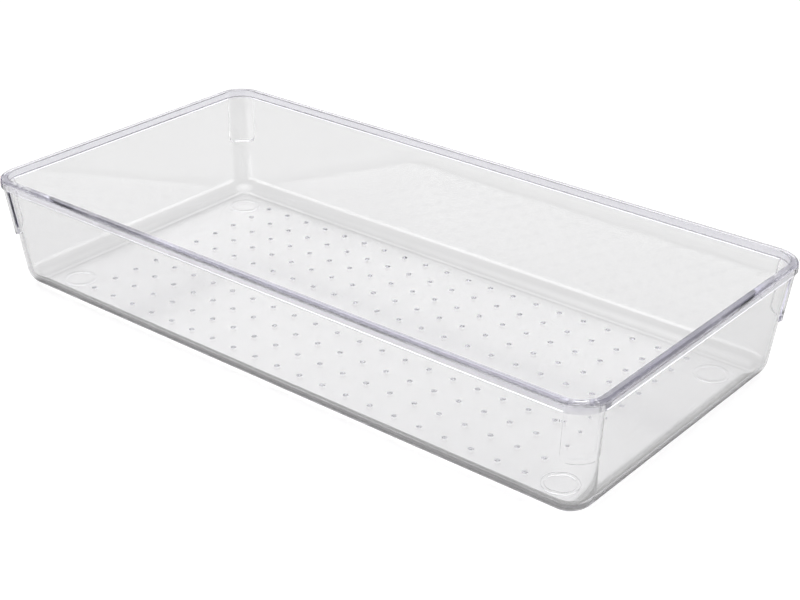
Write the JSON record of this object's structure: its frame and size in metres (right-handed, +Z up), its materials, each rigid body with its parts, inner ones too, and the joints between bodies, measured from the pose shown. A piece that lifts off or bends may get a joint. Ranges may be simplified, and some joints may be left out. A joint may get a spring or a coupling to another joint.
{
  "type": "drawer organizer",
  "caption": "Clear rectangular drawer tray with leaning walls, a thick rounded rim, stacking pads at its corners, a bumped floor and ring feet.",
  "frame": {"origin": "middle of the base, on the surface that the tray stands on", "axes": "+X along the long side, +Y along the short side, +Z up through the open top"},
  "size_m": [0.3048, 0.1524, 0.0508],
  "materials": {
    "clear_plastic": "clear and polished, with a faint violet tint where it is thick"
  },
  "bodies": {
    "root": {"tray": "clear_plastic"}
  },
  "joints": []
}
